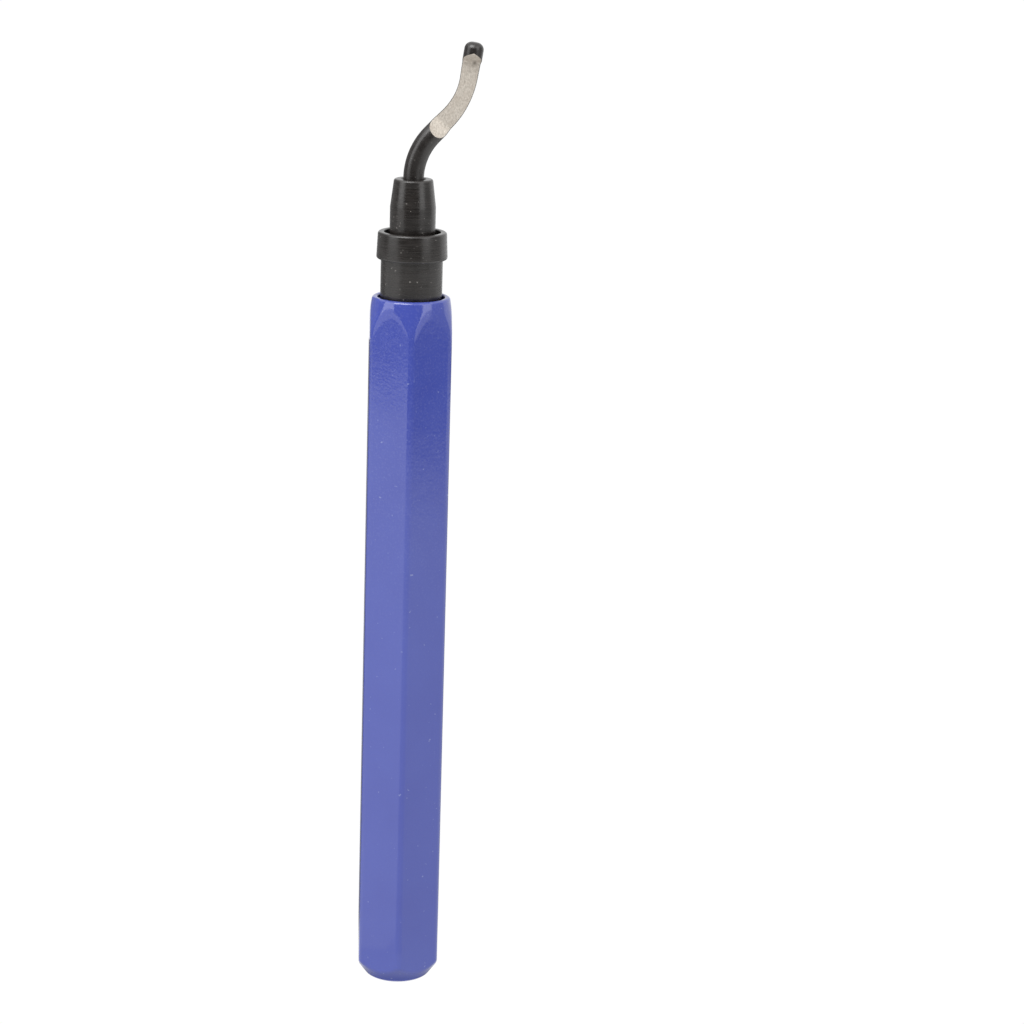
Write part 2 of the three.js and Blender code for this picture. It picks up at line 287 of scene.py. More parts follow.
class Nodes:
    """Shorthand for building a material's node tree."""

    def __init__(self, material):
        material.use_nodes = True
        self.tree = material.node_tree
        self.tree.nodes.clear()
        self.shader = self.add("ShaderNodeBsdfPrincipled")
        self.output = self.add("ShaderNodeOutputMaterial")
        self.link(self.shader.outputs[0], self.output.inputs["Surface"])
        self.place = self.add("ShaderNodeTexCoord").outputs["Object"]

    def add(self, kind, **settings):
        """A new node with its settings, which are not its inputs."""
        node = self.tree.nodes.new(kind)
        for key, value in settings.items():
            setattr(node, key, value)
        return node

    def link(self, source, target):
        """A link from a node's output to another's input."""
        self.tree.links.new(source, target)

    def feed(self, socket, value):
        """Links an output to an input, or sets the input to a number or to a colour."""
        if hasattr(value, "is_output"):
            self.link(value, socket)
        elif socket.type == "RGBA":
            socket.default_value = (*value, 1.0)
        else:
            socket.default_value = value

    def set(self, node, **values):
        """Feeds a node's inputs by name, with _ for each space."""
        for key, value in values.items():
            self.feed(node.inputs[key.replace("_", " ")], value)

    def math(self, operation, a, b):
        """One sum of two numbers or outputs."""
        node = self.add("ShaderNodeMath", operation=operation)
        self.feed(node.inputs[0], a)
        self.feed(node.inputs[1], b)
        return node.outputs[0]

    def vector_math(self, operation, a, b=(0.0, 0.0, 0.0)):
        """The node of one sum of vectors."""
        node = self.add("ShaderNodeVectorMath", operation=operation)
        self.feed(node.inputs[0], a)
        self.feed(node.inputs[1], b)
        return node

    def stretched(self, x, y, z):
        """Object coordinates in metres, multiplied by x, y and z."""
        return self.vector_math("MULTIPLY", self.place, (x, y, z)).outputs[0]

    def noise(self, vector, scale, detail=2.0, roughness=0.5):
        """Noise round 0.5, finer with a larger scale."""
        node = self.add("ShaderNodeTexNoise")
        self.set(node, Vector=vector, Scale=scale, Detail=detail, Roughness=roughness)
        return node.outputs["Fac"]

    def ramp(self, value, *stops):
        """Colour ramp from (place, colour) stops, where a colour is a number or three numbers."""
        node = self.add("ShaderNodeValToRGB")
        self.link(value, node.inputs[0])
        for element, (place, colour) in zip(node.color_ramp.elements, stops):
            element.position = place
            rgb = (colour,) * 3 if isinstance(colour, (int, float)) else colour
            element.color = (*rgb, 1.0)
        return node.outputs[0]

    def smooth_step(self, value, start, end, low, high):
        """Smooth change from low to high while the value goes from start to end."""
        node = self.add("ShaderNodeMapRange", interpolation_type="SMOOTHSTEP")
        self.set(node, Value=value, From_Min=start, From_Max=end, To_Min=low, To_Max=high)
        return node.outputs["Result"]

    def mix(self, share, a, b):
        """Colour a with a share of colour b over it."""
        node = self.add("ShaderNodeMix", data_type="RGBA")
        sockets = {(socket.name, socket.type): socket for socket in node.inputs}
        self.feed(sockets["Factor", "VALUE"], share)
        self.feed(sockets["A", "RGBA"], a)
        self.feed(sockets["B", "RGBA"], b)
        return next(socket for socket in node.outputs if socket.type == "RGBA")

    def bump(self, height, distance, normal=None):
        """Normals of a surface raised by at most a distance in metres, over other normals."""
        node = self.add("ShaderNodeBump")
        self.set(node, Height=height, Distance=distance, Strength=1.0)
        if normal is not None:
            self.link(normal, node.inputs["Normal"])
        return node.outputs["Normal"]


def handle_paint():
    """Glossy blue enamel with a slight orange peel, dimples and waves, fine dust, and lighter specks
    that are painted glints off the orange peel, stronger towards the top.
    """
    material = bpy.data.materials.new("handle_paint")
    n = Nodes(material)
    cloud = n.noise(n.place, 90.0, 3.0)
    colour = n.ramp(cloud, (0.3, (0.041, 0.057, 0.277)), (0.7, (0.047, 0.066, 0.297)))
    height = n.add("ShaderNodeSeparateXYZ")
    n.link(n.place, height.inputs[0])
    # Painted glints: lighter specks over the blue, stronger towards the top of the handle.
    glints_stronger_above = n.smooth_step(height.outputs["Z"], 0.045, 0.100, 0.15, 1.0)
    glint_specks = n.ramp(n.noise(n.place, 3300.0), (0.50, 0.0), (0.74, 1.0))
    share = n.math("MULTIPLY", n.math("MULTIPLY", glint_specks, glints_stronger_above), 0.17)
    colour = n.mix(share, colour, (0.16, 0.18, 0.40))
    dust = n.ramp(n.noise(n.place, 1500.0, 1.0), (0.75, 0.0), (0.80, 1.0))
    colour = n.mix(n.math("MULTIPLY", dust, 0.35), colour, (0.30, 0.34, 0.50))
    peel = n.noise(n.place, 2400.0)
    dimple = n.noise(n.place, 520.0)
    wave = n.noise(n.stretched(1.0, 1.0, 0.35), 160.0)
    normal = n.bump(peel, 9 * MICRON)
    normal = n.bump(dimple, 12 * MICRON, normal)
    normal = n.bump(wave, 40 * MICRON, normal)
    rough = n.ramp(n.noise(n.place, 400.0, 4.0), (0.3, 0.07), (0.7, 0.11))
    n.set(n.shader, Base_Color=colour, Normal=normal, Roughness=rough, IOR=1.65)
    return material


def turned_steel(name, colour, roughness, marks):
    """Black-oxide steel with turning marks round the axis, as deep as marks says, and specks."""
    material = bpy.data.materials.new(name)
    n = Nodes(material)
    lines = n.noise(n.stretched(0.04, 0.04, 1.0), 5500.0, 3.0)
    broad = n.noise(n.stretched(0.1, 0.1, 1.0), 1500.0, 3.0)
    blotch = n.noise(n.place, 500.0, 4.0, 0.6)
    dark = tuple(c * 0.7 for c in colour)
    light = tuple(c * 1.4 for c in colour)
    shade = n.math("ADD", n.math("MULTIPLY", blotch, 0.5), n.math("MULTIPLY", lines, 0.5))
    tone = n.ramp(shade, (0.38, dark), (0.62, light))
    grain = n.noise(n.place, 2600.0, 1.0)
    speck = n.ramp(grain, (0.73, 0.0), (0.78, 1.0))
    tone = n.mix(n.math("MULTIPLY", speck, 0.5), tone, DUST)
    normal = n.bump(lines, 7 * MICRON * marks)
    normal = n.bump(broad, 10 * MICRON * marks, normal)
    normal = n.bump(grain, 4 * MICRON, normal)
    uneven = n.math("ADD", n.math("MULTIPLY", broad, 0.4), n.math("MULTIPLY", lines, 0.6))
    rough = n.ramp(uneven, (0.38, roughness - 0.06), (0.62, roughness + 0.06))
    n.set(n.shader, Base_Color=tone, Normal=normal, Roughness=rough, IOR=1.60)
    return material


def blade_black():
    """Smooth black-oxide skin of the blade."""
    material = bpy.data.materials.new("blade_black")
    n = Nodes(material)
    blotch = n.noise(n.place, 700.0, 4.0, 0.6)
    tone = n.ramp(blotch, (0.3, (0.0115, 0.0098, 0.0090)), (0.7, (0.0185, 0.016, 0.0148)))
    speck = n.ramp(n.noise(n.place, 3000.0, 1.0), (0.73, 0.0), (0.78, 1.0))
    tone = n.mix(n.math("MULTIPLY", speck, 0.4), tone, DUST)
    pits = n.noise(n.place, 2200.0, 3.0, 0.6)
    rough = n.ramp(blotch, (0.3, 0.24), (0.7, 0.34))
    n.set(n.shader, Base_Color=tone, Normal=n.bump(pits, 8 * MICRON), Roughness=rough, IOR=1.58)
    return material


def ground_steel():
    """Bare steel of the ground flat: warm mottled grain, with freckles near the tip and a dark spot
    there that is partly a stain and partly painted shade over the highlight of the flat's end ramp.
    """
    material = bpy.data.materials.new("ground_steel")
    n = Nodes(material)
    grain = n.noise(n.stretched(1.0, 1.0, 0.6), 4200.0, 3.0, 0.65)
    cloud = n.noise(n.place, 900.0, 4.0, 0.6)
    tone = n.ramp(grain, (0.3, (0.35, 0.315, 0.27)), (0.7, (0.60, 0.55, 0.485)))
    tone = n.mix(n.ramp(cloud, (0.45, 0.0), (0.75, 0.6)), tone, (0.40, 0.345, 0.29))
    # Dark spot at the flat's upper end: partly a real stain, partly painted shade that dims the end
    # ramp's highlight.
    x, z, lean = blade_line(STAIN_AND_SHADE_ALONG)
    centre = (x + STAIN_AND_SHADE_ASIDE * math.cos(lean), z - STAIN_AND_SHADE_ASIDE * math.sin(lean))
    beside = (centre[0] * MM, 0.0, centre[1] * MM)
    offset = n.vector_math("SUBTRACT", n.stretched(1.0, 0.0, 1.0), beside).outputs[0]
    distance = n.vector_math("LENGTH", offset).outputs["Value"]
    ragged = n.math("ADD", distance, n.math("MULTIPLY", cloud, 0.0008))
    stain_and_shade = n.ramp(n.math("MULTIPLY", ragged, 1000.0), (0.52, 0.70), (0.88, 0.0))
    nearby = n.ramp(n.math("MULTIPLY", distance, 500.0), (0.15, 1.0), (0.9, 0.0))
    freckles = n.ramp(n.noise(n.place, 2600.0, 3.0, 0.7), (0.46, 0.0), (0.66, 0.30))
    tone = n.mix(n.math("MULTIPLY", freckles, nearby), tone, (0.20, 0.165, 0.135))
    tone = n.mix(stain_and_shade, tone, (0.10, 0.08, 0.065))
    n.set(n.shader, Base_Color=tone, Normal=n.bump(grain, 6 * MICRON), Metallic=0.3, Roughness=0.45)
    return material


def bright_steel(name, colour, roughness):
    """Bare steel of the spring, ring and balls."""
    material = bpy.data.materials.new(name)
    n = Nodes(material)
    grain = n.noise(n.place, 3000.0, 3.0)
    tone = n.ramp(grain, (0.3, tuple(c * 0.9 for c in colour)), (0.7, colour))
    n.set(n.shader, Base_Color=tone, Normal=n.bump(grain, 2 * MICRON), Metallic=1.0, Roughness=roughness)
    return material


# ---- Handle -------------------------------------------------------------------------------

def soft_minimum(a, b, width):
    """The smaller of two numbers, with a round of that width where they meet."""
    overlap = max(width - abs(a - b), 0.0) / width
    return min(a, b) - overlap * overlap * width / 4


def hexagon_radius(from_corner):
    """Distance from the axis to the bar's side, by angle from the nearest corner."""
    centre = (ACROSS_FLATS / 2 - HEX_CORNER_RADIUS) / math.cos(HALF_SECTOR)
    touch = math.atan2(HEX_CORNER_RADIUS / 2, centre + HEX_CORNER_RADIUS * math.cos(HALF_SECTOR))
    a = abs(from_corner)
    if a < touch:
        side = centre * math.sin(a)
        return centre * math.cos(a) + math.sqrt(HEX_CORNER_RADIUS ** 2 - side ** 2)
    return ACROSS_FLATS / 2 / math.cos(HALF_SECTOR - a)


def handle_angles():
    """(angle, angle from one of the bar's corners) all round, close together at the corners."""
    angles = []
    fine = math.radians(7)
    for corner in range(6):
        middle = math.radians(60 * corner - 90)
        offsets = spread(-fine, fine, 20) + spread(fine, math.radians(60) - fine, 44)
        angles += [(middle + a, a) for a in offsets]
    return angles


def butt_profile(outside):
    """(radius, height) of the butt's face, edge and cone out to a radius, and the cone's top."""
    profile = [(r, 0.0) for r in (NEAR_AXIS, 1.0, 2.0, 3.0)]
    edge_end = math.degrees(BUTT_SLOPE) - 90
    profile += arc(BUTT_FACE_RADIUS, BUTT_EDGE_RADIUS, BUTT_EDGE_RADIUS, -90, edge_end, 16)
    start_r, start_z = profile[-1]
    slope = math.tan(BUTT_SLOPE)
    for r in spread(start_r, outside, 60)[1:]:
        profile.append((r, start_z + (r - start_r) * slope))
    cone_top = start_z + (outside - start_r) * slope
    return profile, cone_top


def handle_profile():
    """(radius, height) of the turned outside, the rim and the bore, from the butt's centre up."""
    corner = hexagon_radius(0)
    outside = corner + OVERSIZE
    profile, cone_top = butt_profile(outside)
    taper_start = TAPER_BOTTOM - (outside - corner) / TAPER_SLOPE
    taper_top = HANDLE_LENGTH - RIM_ROUND
    profile += [(outside, z) for z in spread(cone_top, taper_start, 60)]
    for z in spread(taper_start, taper_top - 0.05, 170):
        profile.append((outside - (z - taper_start) * TAPER_SLOPE, z))
    rim_r = corner - (taper_top - TAPER_BOTTOM) * TAPER_SLOPE
    profile += arc(rim_r - RIM_ROUND, taper_top, RIM_ROUND, RIM_START_ANGLE, 90, 12)
    mouth_r = BORE_RADIUS + BORE_RIM_ROUND
    profile += arc(mouth_r, HANDLE_LENGTH - BORE_RIM_ROUND, BORE_RIM_ROUND, 90, 180, 8)
    profile += [(BORE_RADIUS, z) for z in spread(HANDLE_LENGTH - 1, BORE_FLOOR, 6)]
    profile += [
        (BORE_RADIUS, BORE_FLOOR),
        (STEM_HOLE_RADIUS, BORE_FLOOR),
        (STEM_HOLE_RADIUS, STEM_HOLE_BOTTOM),
        (NEAR_AXIS, STEM_HOLE_TIP),
    ]
    return profile


def make_handle():
    """The turned profile, cut to the rounded hexagon."""
    profile = handle_profile()
    angles = handle_angles()
    points = []
    for r, z in profile:
        for angle, past_corner in angles:
            from_corner = past_corner - 2 * HALF_SECTOR if past_corner > HALF_SECTOR else past_corner
            side = soft_minimum(r, hexagon_radius(from_corner), EDGE_SOFTNESS)
            points.append((side * math.cos(angle), side * math.sin(angle), z))
    faces = capped_faces(len(profile), len(angles))
    piece = make_piece("handle_painted", points, faces, "handle_assembly", ["handle"])
    piece.data.materials.append(handle_paint())


# ---- Chuck and sleeve ---------------------------------------------------------------------

TURNED_SIDES = 192


def make_chuck_body(steel):
    """Stem, flange, tube with the ring's groove, tapered nose and the blade's bore, in one piece."""
    corners = [
        (NEAR_AXIS, STEM_END, 0), (STEM_RADIUS, STEM_END, 0.3), (STEM_RADIUS, FLANGE_BOTTOM, 0),
        (FLANGE_RADIUS, FLANGE_BOTTOM, 0.1), (FLANGE_RADIUS, FLANGE_TOP, 0.2),
        (TUBE_RADIUS, FLANGE_TOP, 0), (TUBE_RADIUS, GROOVE_BOTTOM, 0.03),
        (GROOVE_RADIUS, GROOVE_BOTTOM, 0), (GROOVE_RADIUS, GROOVE_TOP, 0),
        (TUBE_RADIUS, GROOVE_TOP, 0.03), (TUBE_RADIUS, NOSE_START, NOSE_START_ROUND),
        (NOSE_TIP_RADIUS, NOSE_TIP, NOSE_TIP_ROUND), (MOUTH_RADIUS, NOSE_TIP, 0.08),
        (BLADE_BORE_RADIUS, NOSE_TIP - MOUTH_DEPTH, 0.05), (BLADE_BORE_RADIUS, BLADE_BORE_END, 0),
        (NEAR_AXIS, BLADE_BORE_TIP, 0),
    ]
    points, faces = lathe(filleted(corners), TURNED_SIDES)
    piece = make_piece(
        "chuck_body_turned", points, faces, "handle_assembly", ["chuck_body"],
    )
    piece.data.materials.append(steel)
    for side in (1, -1):
        cut_ball_hole(piece, side)


def cut_ball_hole(piece, side):
    """Radial hole in the chuck for one ball, with the lip that keeps the ball in."""
    from_axis, past_tube = 1.0, TUBE_RADIUS + 0.5
    profile = [
        (0.01, from_axis), (BALL_LIP_RADIUS, from_axis), (BALL_LIP_RADIUS, BALL_LIP_HEIGHT),
        (BALL_HOLE_RADIUS, BALL_HOLE_FULL), (BALL_HOLE_RADIUS, past_tube), (0.01, past_tube),
    ]
    points, faces = lathe(profile, 64)
    placed = [(side * z, -side * y, NECK_HEIGHT + x) for x, y, z in points]
    cutter = link_object("ball_hole", make_mesh("ball_hole", [Vector(p) * MM for p in placed], faces))
    cut = piece.modifiers.new("hole", "BOOLEAN")
    cut.operation = "DIFFERENCE"
    cut.solver = "EXACT"
    cut.object = cutter
    graph = bpy.context.evaluated_depsgraph_get()
    result = bpy.data.meshes.new_from_object(piece.evaluated_get(graph))
    piece.modifiers.clear()
    piece.data = result
    bpy.data.objects.remove(cutter)


def make_release_sleeve(steel):
    """Skirt, collar with the nose's recess, ring seat, ball pocket and spring seat."""
    corners = [
        (SKIRT_INNER_RADIUS, SKIRT_BOTTOM, 0.05), (SKIRT_RADIUS, SKIRT_BOTTOM, 0.2),
        (SKIRT_RADIUS, COLLAR_BOTTOM, 0.12), (COLLAR_RADIUS, COLLAR_BOTTOM, 0.34),
        (COLLAR_TOP_RADIUS, COLLAR_TOP, 0.36), (RECESS_RADIUS, COLLAR_TOP, 0.15),
        (RECESS_RADIUS, RING_SEAT, 0), (SLIDING_RADIUS, RING_SEAT, 0.05),
        (SLIDING_RADIUS, POCKET_CLOSED, 0.05), (POCKET_RADIUS, POCKET_TOP, 0.05),
        (POCKET_RADIUS, POCKET_BOTTOM, 0), (SLIDING_RADIUS, CAM_START, 0.1),
        (SLIDING_RADIUS, SPRING_SEAT, 0.05), (SKIRT_INNER_RADIUS, SPRING_SEAT, 0),
        (SKIRT_INNER_RADIUS, SKIRT_BOTTOM + 0.1, 0),
    ]
    points, faces = lathe(filleted(corners), TURNED_SIDES, closed=True)
    piece = make_piece(
        "release_sleeve_turned", points, faces, "sleeve", ["release_sleeve"],
    )
    piece.data.materials.append(steel)


def make_retaining_ring(steel):
    """Open ring of bevelled square section, with its gap at the back."""
    inner, outer = RING_INNER_RADIUS, RING_OUTER_RADIUS
    bottom, top, bevel = RING_BOTTOM, RING_TOP, RING_BEVEL
    section = [
        (inner + bevel, bottom), (outer - bevel, bottom), (outer, bottom + bevel),
        (outer, top - bevel), (outer - bevel, top), (inner + bevel, top),
        (inner, top - bevel), (inner, bottom + bevel),
    ]
    steps = 120
    start = (math.pi + RING_GAP) / 2
    end = (math.pi - RING_GAP) / 2 + TURN
    points = []
    for i in range(steps + 1):
        a = start + (end - start) * i / steps
        points += [(r * math.cos(a), r * math.sin(a), z) for r, z in section]
    faces = swept_faces(steps, len(section))
    piece = make_piece(
        "retaining_ring_fine", points, faces, "handle_assembly", ["retaining_ring"],
    )
    piece.data.materials.append(steel)


def make_sleeve_spring(steel):
    """Helix of round wire, with one closed turn at each end."""
    open_turns = SPRING_TURNS - 2
    pitch = (SPRING_TOP - SPRING_BOTTOM - 2 * SPRING_CLOSED_PITCH) / open_turns
    steps = SPRING_TURNS * 64
    sides = 16
    points = []
    for i in range(steps + 1):
        turn = SPRING_TURNS * i / steps
        closed = min(turn, 1) + max(turn - (SPRING_TURNS - 1), 0)
        z = SPRING_BOTTOM + closed * SPRING_CLOSED_PITCH + (turn - closed) * pitch
        a = turn * TURN
        for j in range(sides):
            b = TURN * j / sides
            r = SPRING_COIL_RADIUS + SPRING_WIRE_RADIUS * math.cos(b)
            points.append((r * math.cos(a), r * math.sin(a), z + SPRING_WIRE_RADIUS * math.sin(b)))
    faces = swept_faces(steps, sides)
    piece = make_piece(
        "sleeve_spring_wire", points, faces, "handle_assembly", ["sleeve_spring"],
    )
    piece.data.materials.append(steel)
    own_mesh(piece)


def make_balls(steel):
    """The two balls in the blade's neck, each on its own body."""
    for index, (side, body) in enumerate(((1, "ball_right"), (-1, "ball_left")), start=1):
        profile = arc(0, 0, BALL_RADIUS, -89.5, 89.5, 48)
        points, faces = lathe(profile, 96)
        placed = [(x + side * BALL_SEAT_RADIUS, y, z + NECK_HEIGHT) for x, y, z in points]
        piece = make_piece(
            f"detent_ball_{index}_fine", placed, faces, body,
            [f"detent_ball_{index}"],
        )
        piece.data.materials.append(steel)


# ---- Blade --------------------------------------------------------------------------------

def blade_line(along):
    """x, z and lean of the blade's centreline; along is negative on the straight shank."""
    if along < 0:
        return 0.0, BEND_START + along, 0.0
    x, z, lean, left = 0.0, BEND_START, 0.0, along
    stretches = [
        (OUT_BEND_RADIUS, OUT_BEND_ANGLE), (SLANT_LENGTH, None),
        (BACK_BEND_RADIUS, -BACK_BEND_ANGLE), (TIP_LENGTH + 1, None),
    ]
    for size, angle in stretches:
        if angle is None:
            step = min(left, size)
            x += step * math.sin(lean)
            z += step * math.cos(lean)
        else:
            side = math.copysign(1, angle)
            step = min(left, size * abs(angle))
            turned = lean + side * step / size
            x += side * size * (math.cos(lean) - math.cos(turned))
            z += side * size * (math.sin(turned) - math.sin(lean))
            lean = turned
        left -= step
    return x, z, lean


def blade_radius(along):
    """Radius of the rod before the flat is ground."""
    shank = BEND_START + along
    share = min(max((along - FLAT_START) / (BENT_LENGTH - FLAT_START), 0), 1)
    radius = BLADE_RADIUS - (BLADE_RADIUS - TIP_RADIUS) * share
    from_middle = (along - EDGE_MIDDLE) / EDGE_HALF_LENGTH
    if abs(from_middle) < 1:
        radius -= EDGE_THINNING * math.cos(math.pi / 2 * from_middle) ** 2
    if shank < SHANK_END + SHANK_BEVEL:
        radius -= SHANK_END + SHANK_BEVEL - shank
    from_neck = abs(shank - NECK_HEIGHT)
    if from_neck < NECK_LENGTH / 2:
        depth = BLADE_RADIUS - NECK_RADIUS
        curve = ((NECK_LENGTH / 2) ** 2 + depth ** 2) / (2 * depth)
        radius = NECK_RADIUS + curve - math.sqrt(curve ** 2 - from_neck ** 2)
    from_end = BENT_LENGTH - along
    if from_end < TIP_ROUND:
        radius -= TIP_ROUND - math.sqrt(max(TIP_ROUND ** 2 - (TIP_ROUND - from_end) ** 2, 0))
    return max(radius, NEAR_AXIS)


def flat_depth(along):
    """How far past the centre plane the ground surface lies, or None where nothing is ground."""
    if along < FLAT_START or along > FLAT_END:
        return None
    start = (along - FLAT_START) / FLAT_START_RAMP
    end = (FLAT_END - along) / FLAT_END_RAMP
    if start < 1:
        fall = FLAT_DEPTH + BLADE_RADIUS + 0.05
        return FLAT_DEPTH - fall * (1 - start) ** 2
    if end < 1:
        fall = FLAT_DEPTH + blade_radius(FLAT_END)
        return FLAT_DEPTH - fall * (1 - end ** 2 * (3 - 2 * end))
    return FLAT_DEPTH


def ramp_stations(start, length, count):
    """Lengths along a ramp of the flat, closest together at its start."""
    return [start + length * (i / count) ** 1.5 for i in range(count)]


def blade_stations():
    """Lengths along the blade, close together at the ramps, the neck and the tip."""
    shank = SHANK_END - BEND_START
    neck_start = NECK_HEIGHT - NECK_LENGTH / 2 - BEND_START
    neck_end = NECK_HEIGHT + NECK_LENGTH / 2 - BEND_START
    tip_start = BENT_LENGTH - TIP_ROUND
    marks = [shank, shank + 0.001, shank + SHANK_BEVEL]
    marks += spread(shank + SHANK_BEVEL, neck_start, 8)[1:]
    marks += spread(neck_start, neck_end, 40)
    marks += spread(neck_end, 0, 20)
    marks += spread(0, FLAT_START, 60)
    marks += ramp_stations(FLAT_START, FLAT_START_RAMP, 48)
    marks += spread(FLAT_START + FLAT_START_RAMP, FLAT_END - FLAT_END_RAMP, 110)
    marks += reversed(ramp_stations(FLAT_END, -FLAT_END_RAMP, 32))
    marks += spread(FLAT_END, tip_start, 16)
    steps = 24
    marks += [tip_start + TIP_ROUND * math.sin(math.pi / 2 * i / steps) for i in range(steps + 1)]
    return marks


ROUND_POINTS = 96
FLAT_POINTS = 36


def blade_section(along):
    """Points round the blade at one station: its round back, then its ground face."""
    radius = blade_radius(along)
    depth = flat_depth(along)
    front = -radius if depth is None else max(depth, -radius)
    half = math.acos(min(max(-front / radius, -1), 1))
    edge = radius * math.sin(half)
    outline = []
    for i in range(ROUND_POINTS):
        a = half + (TURN - 2 * half) * i / (ROUND_POINTS - 1)
        outline.append((radius * math.sin(a), -radius * math.cos(a)))
    for i in range(1, FLAT_POINTS):
        outline.append((-edge + 2 * edge * i / FLAT_POINTS, front))
    x, z, lean = blade_line(along)
    return [(x + aside * math.cos(lean), y, z - aside * math.sin(lean)) for aside, y in outline]


def make_blade():
    """Bent rod with its neck, ground flat and rounded tip; the flat is bare steel."""
    stations = blade_stations()
    points = [point for along in stations for point in blade_section(along)]
    size = ROUND_POINTS + FLAT_POINTS - 1
    faces = [tuple(reversed(face)) for face in capped_faces(len(stations), size)]
    piece = make_piece("blade_ground", points, faces, "swivel_blade", ["blade"])
    piece.data.materials.append(blade_black())
    piece.data.materials.append(ground_steel())
    for polygon in piece.data.polygons:
        row, column = divmod(polygon.index, size)
        in_flat = row + 1 < len(stations) and FLAT_START <= stations[row] < FLAT_END
        if in_flat and ROUND_POINTS <= column < size - 1:
            polygon.material_index = 1


# ---- Studio, in metres --------------------------------------------------------------------

TABLE_LIGHT = 1.02
STRIP_STEPS = 24
SHADE_HEIGHT = 0.0005
BLACK = 0.03               # light of the darkest cards
LOW_SILL = 0.016           # heights of the sills
HIGH_SILL = 0.026

# Directions round the tool, in degrees from -Y and positive towards +X.
LEFT = -85
FRONT_LEFT = -46
FRONT_RIGHT = 31
RIGHT = 66
BACK_RIGHT = 105


def glow(n, strength):
    """Makes a node tree's material give off only white light, of a number's or output's strength."""
    light = n.add("ShaderNodeEmission")
    n.set(light, Strength=strength)
    n.link(light.outputs[0], n.output.inputs["Surface"])


def make_floor():
    """An evenly lit white table, which shows no shadow."""
    corners = [(-8, -3, 0), (8, -3, 0), (8, 14, 0), (-8, 14, 0)]
    floor = link_object("floor", make_mesh("floor", corners, [(0, 1, 2, 3)]))
    material = bpy.data.materials.new("floor_white")
    glow(Nodes(material), TABLE_LIGHT)
    floor.data.materials.append(material)


def only_in_reflections(thing):
    """Hides a thing from everything but glossy rays."""
    for kind in ("camera", "diffuse", "transmission", "volume_scatter", "shadow"):
        setattr(thing, f"visible_{kind}", False)


def directions(start, end):
    """(x, y) from one direction to another, in degrees from -Y and positive towards +X."""
    angles = [math.radians(start + (end - start) * i / STRIP_STEPS) for i in range(STRIP_STEPS + 1)]
    return [(math.sin(a), -math.cos(a)) for a in angles]


def table_shade(name, start, end, near, far, near_light, far_light):
    """Glowing sector just above the table, seen only in reflections, that paints the table darker or
    lighter there, from one light to another.

    Its directions are in degrees from -Y, positive towards +X, and near and far are its radii.
    """
    points = []
    for x, y in directions(start, end):
        points += [(radius * x, radius * y, SHADE_HEIGHT) for radius in (near, far)]
    faces = [(2 * i, 2 * i + 1, 2 * i + 3, 2 * i + 2) for i in range(STRIP_STEPS)]
    shade = link_object(name, make_mesh(name, points, faces))
    material = bpy.data.materials.new(name)
    n = Nodes(material)
    from_axis = n.vector_math("LENGTH", n.place).outputs["Value"]
    glow(n, n.smooth_step(from_axis, near, far, near_light, far_light))
    shade.data.materials.append(material)
    only_in_reflections(shade)


def reflected_card(name, start, end, radius, low, high, light):
    """Curved glowing card, dark or grey, that shows only in reflections and so paints darker or lighter
    strips into them, like the reflection of a studio flag beside the camera.

    Its directions are in degrees from -Y, positive towards +X.
    """
    points = []
    for x, y in directions(start, end):
        points += [(radius * x, radius * y, z) for z in (low, high)]
    faces = [(2 * i, 2 * i + 2, 2 * i + 3, 2 * i + 1) for i in range(STRIP_STEPS)]
    card = link_object(name, make_mesh(name, points, faces))
    material = bpy.data.materials.new(name)
    glow(Nodes(material), light)
    card.data.materials.append(material)
    only_in_reflections(card)


def area_light(name, place, target, size, power):
    """Rectangular light in watts, turned to a target."""
    data = bpy.data.lights.new(name, "AREA")
    data.shape = "RECTANGLE"
    data.size, data.size_y = size
    data.energy = power
    light = link_object(name, data)
    light.location = place
    light.rotation_euler = (Vector(target) - Vector(place)).to_track_quat("-Z", "Y").to_euler()


def make_lights():
    """White surroundings, with a light on each side for the chuck and one from above."""
    world = bpy.data.worlds.new("studio")
    bpy.context.scene.world = world
    world.use_nodes = True
    background = world.node_tree.nodes["Background"]
    background.inputs["Color"].default_value = (1, 1, 1, 1)
    background.inputs["Strength"].default_value = 1.0
    middle = (0, 0, 0.08)
    chuck = (0, 0, 0.12)
    area_light("left", (-0.82, -0.27, 0.60), chuck, (0.80, 0.9), 3.1)
    area_light("right", (0.69, -0.50, 0.60), chuck, (0.75, 0.9), 2.5)
    area_light("top", (-0.36, -0.45, 0.95), middle, (0.7, 0.7), 8.0)


def make_cards():
    """Standing cards and low sills, seen only as painted reflections: name, directions, radius, bottom,
    top and light.
    """
    cards = [
        ("card_front", FRONT_LEFT, FRONT_RIGHT, 0.40, 0.0, 0.37, BLACK),
        ("card_front_upper", -53, FRONT_LEFT, 0.46, 0.11, 0.42, BLACK),
        ("card_left", -105, -86, 0.47, LOW_SILL, 0.42, 0.16),
        ("card_left_back", -165, -105, 0.47, LOW_SILL, 0.42, 0.32),
        ("card_right", 60, BACK_RIGHT, 0.36, 0.040, 0.36, 0.42),
        ("sill_back", BACK_RIGHT, 248, 0.46, 0.0, LOW_SILL, 0.16),
        ("sill_left", -112, FRONT_LEFT, 0.54, 0.0, LOW_SILL, BLACK),
        ("sill_right", FRONT_RIGHT, RIGHT, 0.46, 0.0, HIGH_SILL, BLACK),
        ("sill_right_side", RIGHT, BACK_RIGHT, 0.46, 0.0, HIGH_SILL, 0.50),
    ]
    for card in cards:
        reflected_card(*card)


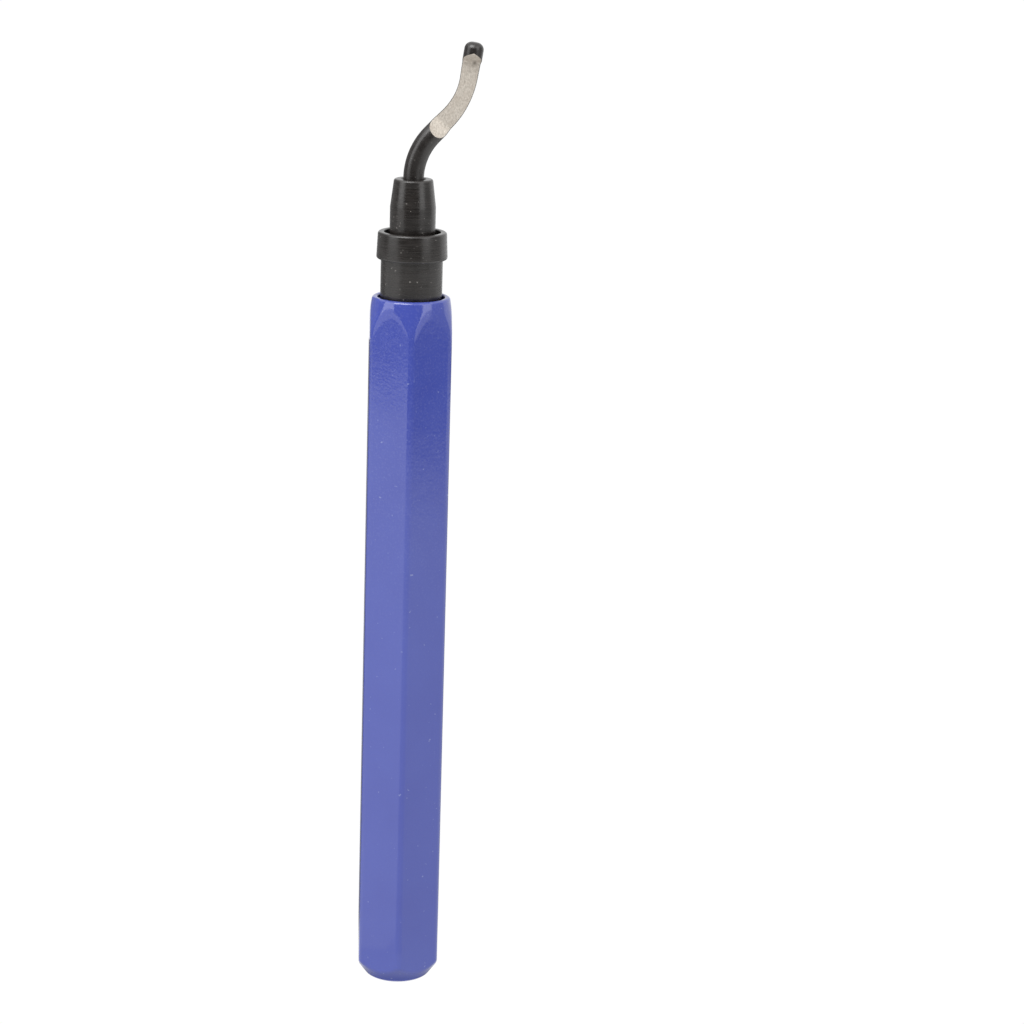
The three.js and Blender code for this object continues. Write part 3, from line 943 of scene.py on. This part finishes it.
def make_table_shades():
    """Sectors that paint the table darker or lighter in reflections: name, directions, radii from near
    to far, and the light at each.
    """
    shades = [
        # Painted pool of light: the table brighter on the left, in reflections only.
        ("painted_bright_table_left", LEFT, FRONT_LEFT, 0.02, 0.44, 1.25, 1.25),
        ("shade_left", LEFT, FRONT_LEFT, 0.44, 0.54, 1.25, 0.05),
        ("shade_right", FRONT_RIGHT, RIGHT, 0.28, 0.47, 1.09, 0.05),
        ("shade_front", -40, 30, 0.02, 0.40, 0.88, 0.84),
        ("shade_back_near", 135, 240, 0.010, 0.030, TABLE_LIGHT, 0.22),
        ("shade_back", 135, 240, 0.030, 0.46, 0.22, 0.22),
        # Painted contact shade round the butt, seen only in its reflections.
        ("shade_butt", -180, 180, 0.0042, 0.0071, BLACK, 0.85),
    ]
    for shade in shades:
        table_shade(*shade)


CAMERA_PLACE = (-0.01903, -0.48575, 0.19901)
CAMERA_TURN = math.radians(4.2)
CAMERA_DOWN = math.radians(14)
CAMERA_ROLL = math.radians(-1.686)
SENSOR_WIDTH = 36.0        # in millimetres, as is the focal length
FOCAL_LENGTH = 111.83


def make_camera():
    """Looks down, from a little to the left, with a slight roll."""
    turn, down, roll = CAMERA_TURN, CAMERA_DOWN, CAMERA_ROLL
    forward = Vector((math.sin(turn) * math.cos(down), math.cos(turn) * math.cos(down), -math.sin(down)))
    right = Vector((math.cos(turn), -math.sin(turn), 0))
    below = forward.cross(right)
    x_axis = right * math.cos(roll) + below * math.sin(roll)
    y_axis = right * math.sin(roll) - below * math.cos(roll)
    data = bpy.data.cameras.new("camera")
    data.sensor_width = SENSOR_WIDTH
    data.lens = FOCAL_LENGTH
    data.clip_end = 50
    camera = link_object("camera", data)
    axes = Matrix((x_axis, y_axis, -forward)).transposed()
    camera.matrix_world = Matrix.Translation(Vector(CAMERA_PLACE)) @ axes.to_4x4()
    bpy.context.scene.camera = camera


def main():
    """Makes every piece, then the studio and the camera."""
    chuck_steel = turned_steel("black_oxide", (0.0130, 0.0110, 0.0100), roughness=0.28, marks=0.9)
    spring_grey = (0.32, 0.32, 0.33)
    make_handle()
    make_chuck_body(chuck_steel)
    make_release_sleeve(chuck_steel)
    make_retaining_ring(bright_steel("spring_steel", spring_grey, roughness=0.3))
    make_sleeve_spring(bright_steel("spring_wire", spring_grey, roughness=0.28))
    make_balls(bright_steel("ball_steel", (0.6, 0.6, 0.61), roughness=0.12))
    make_blade()
    make_floor()
    make_lights()
    make_cards()
    make_table_shades()
    make_camera()
    bpy.context.scene.view_settings.view_transform = "Standard"


main()
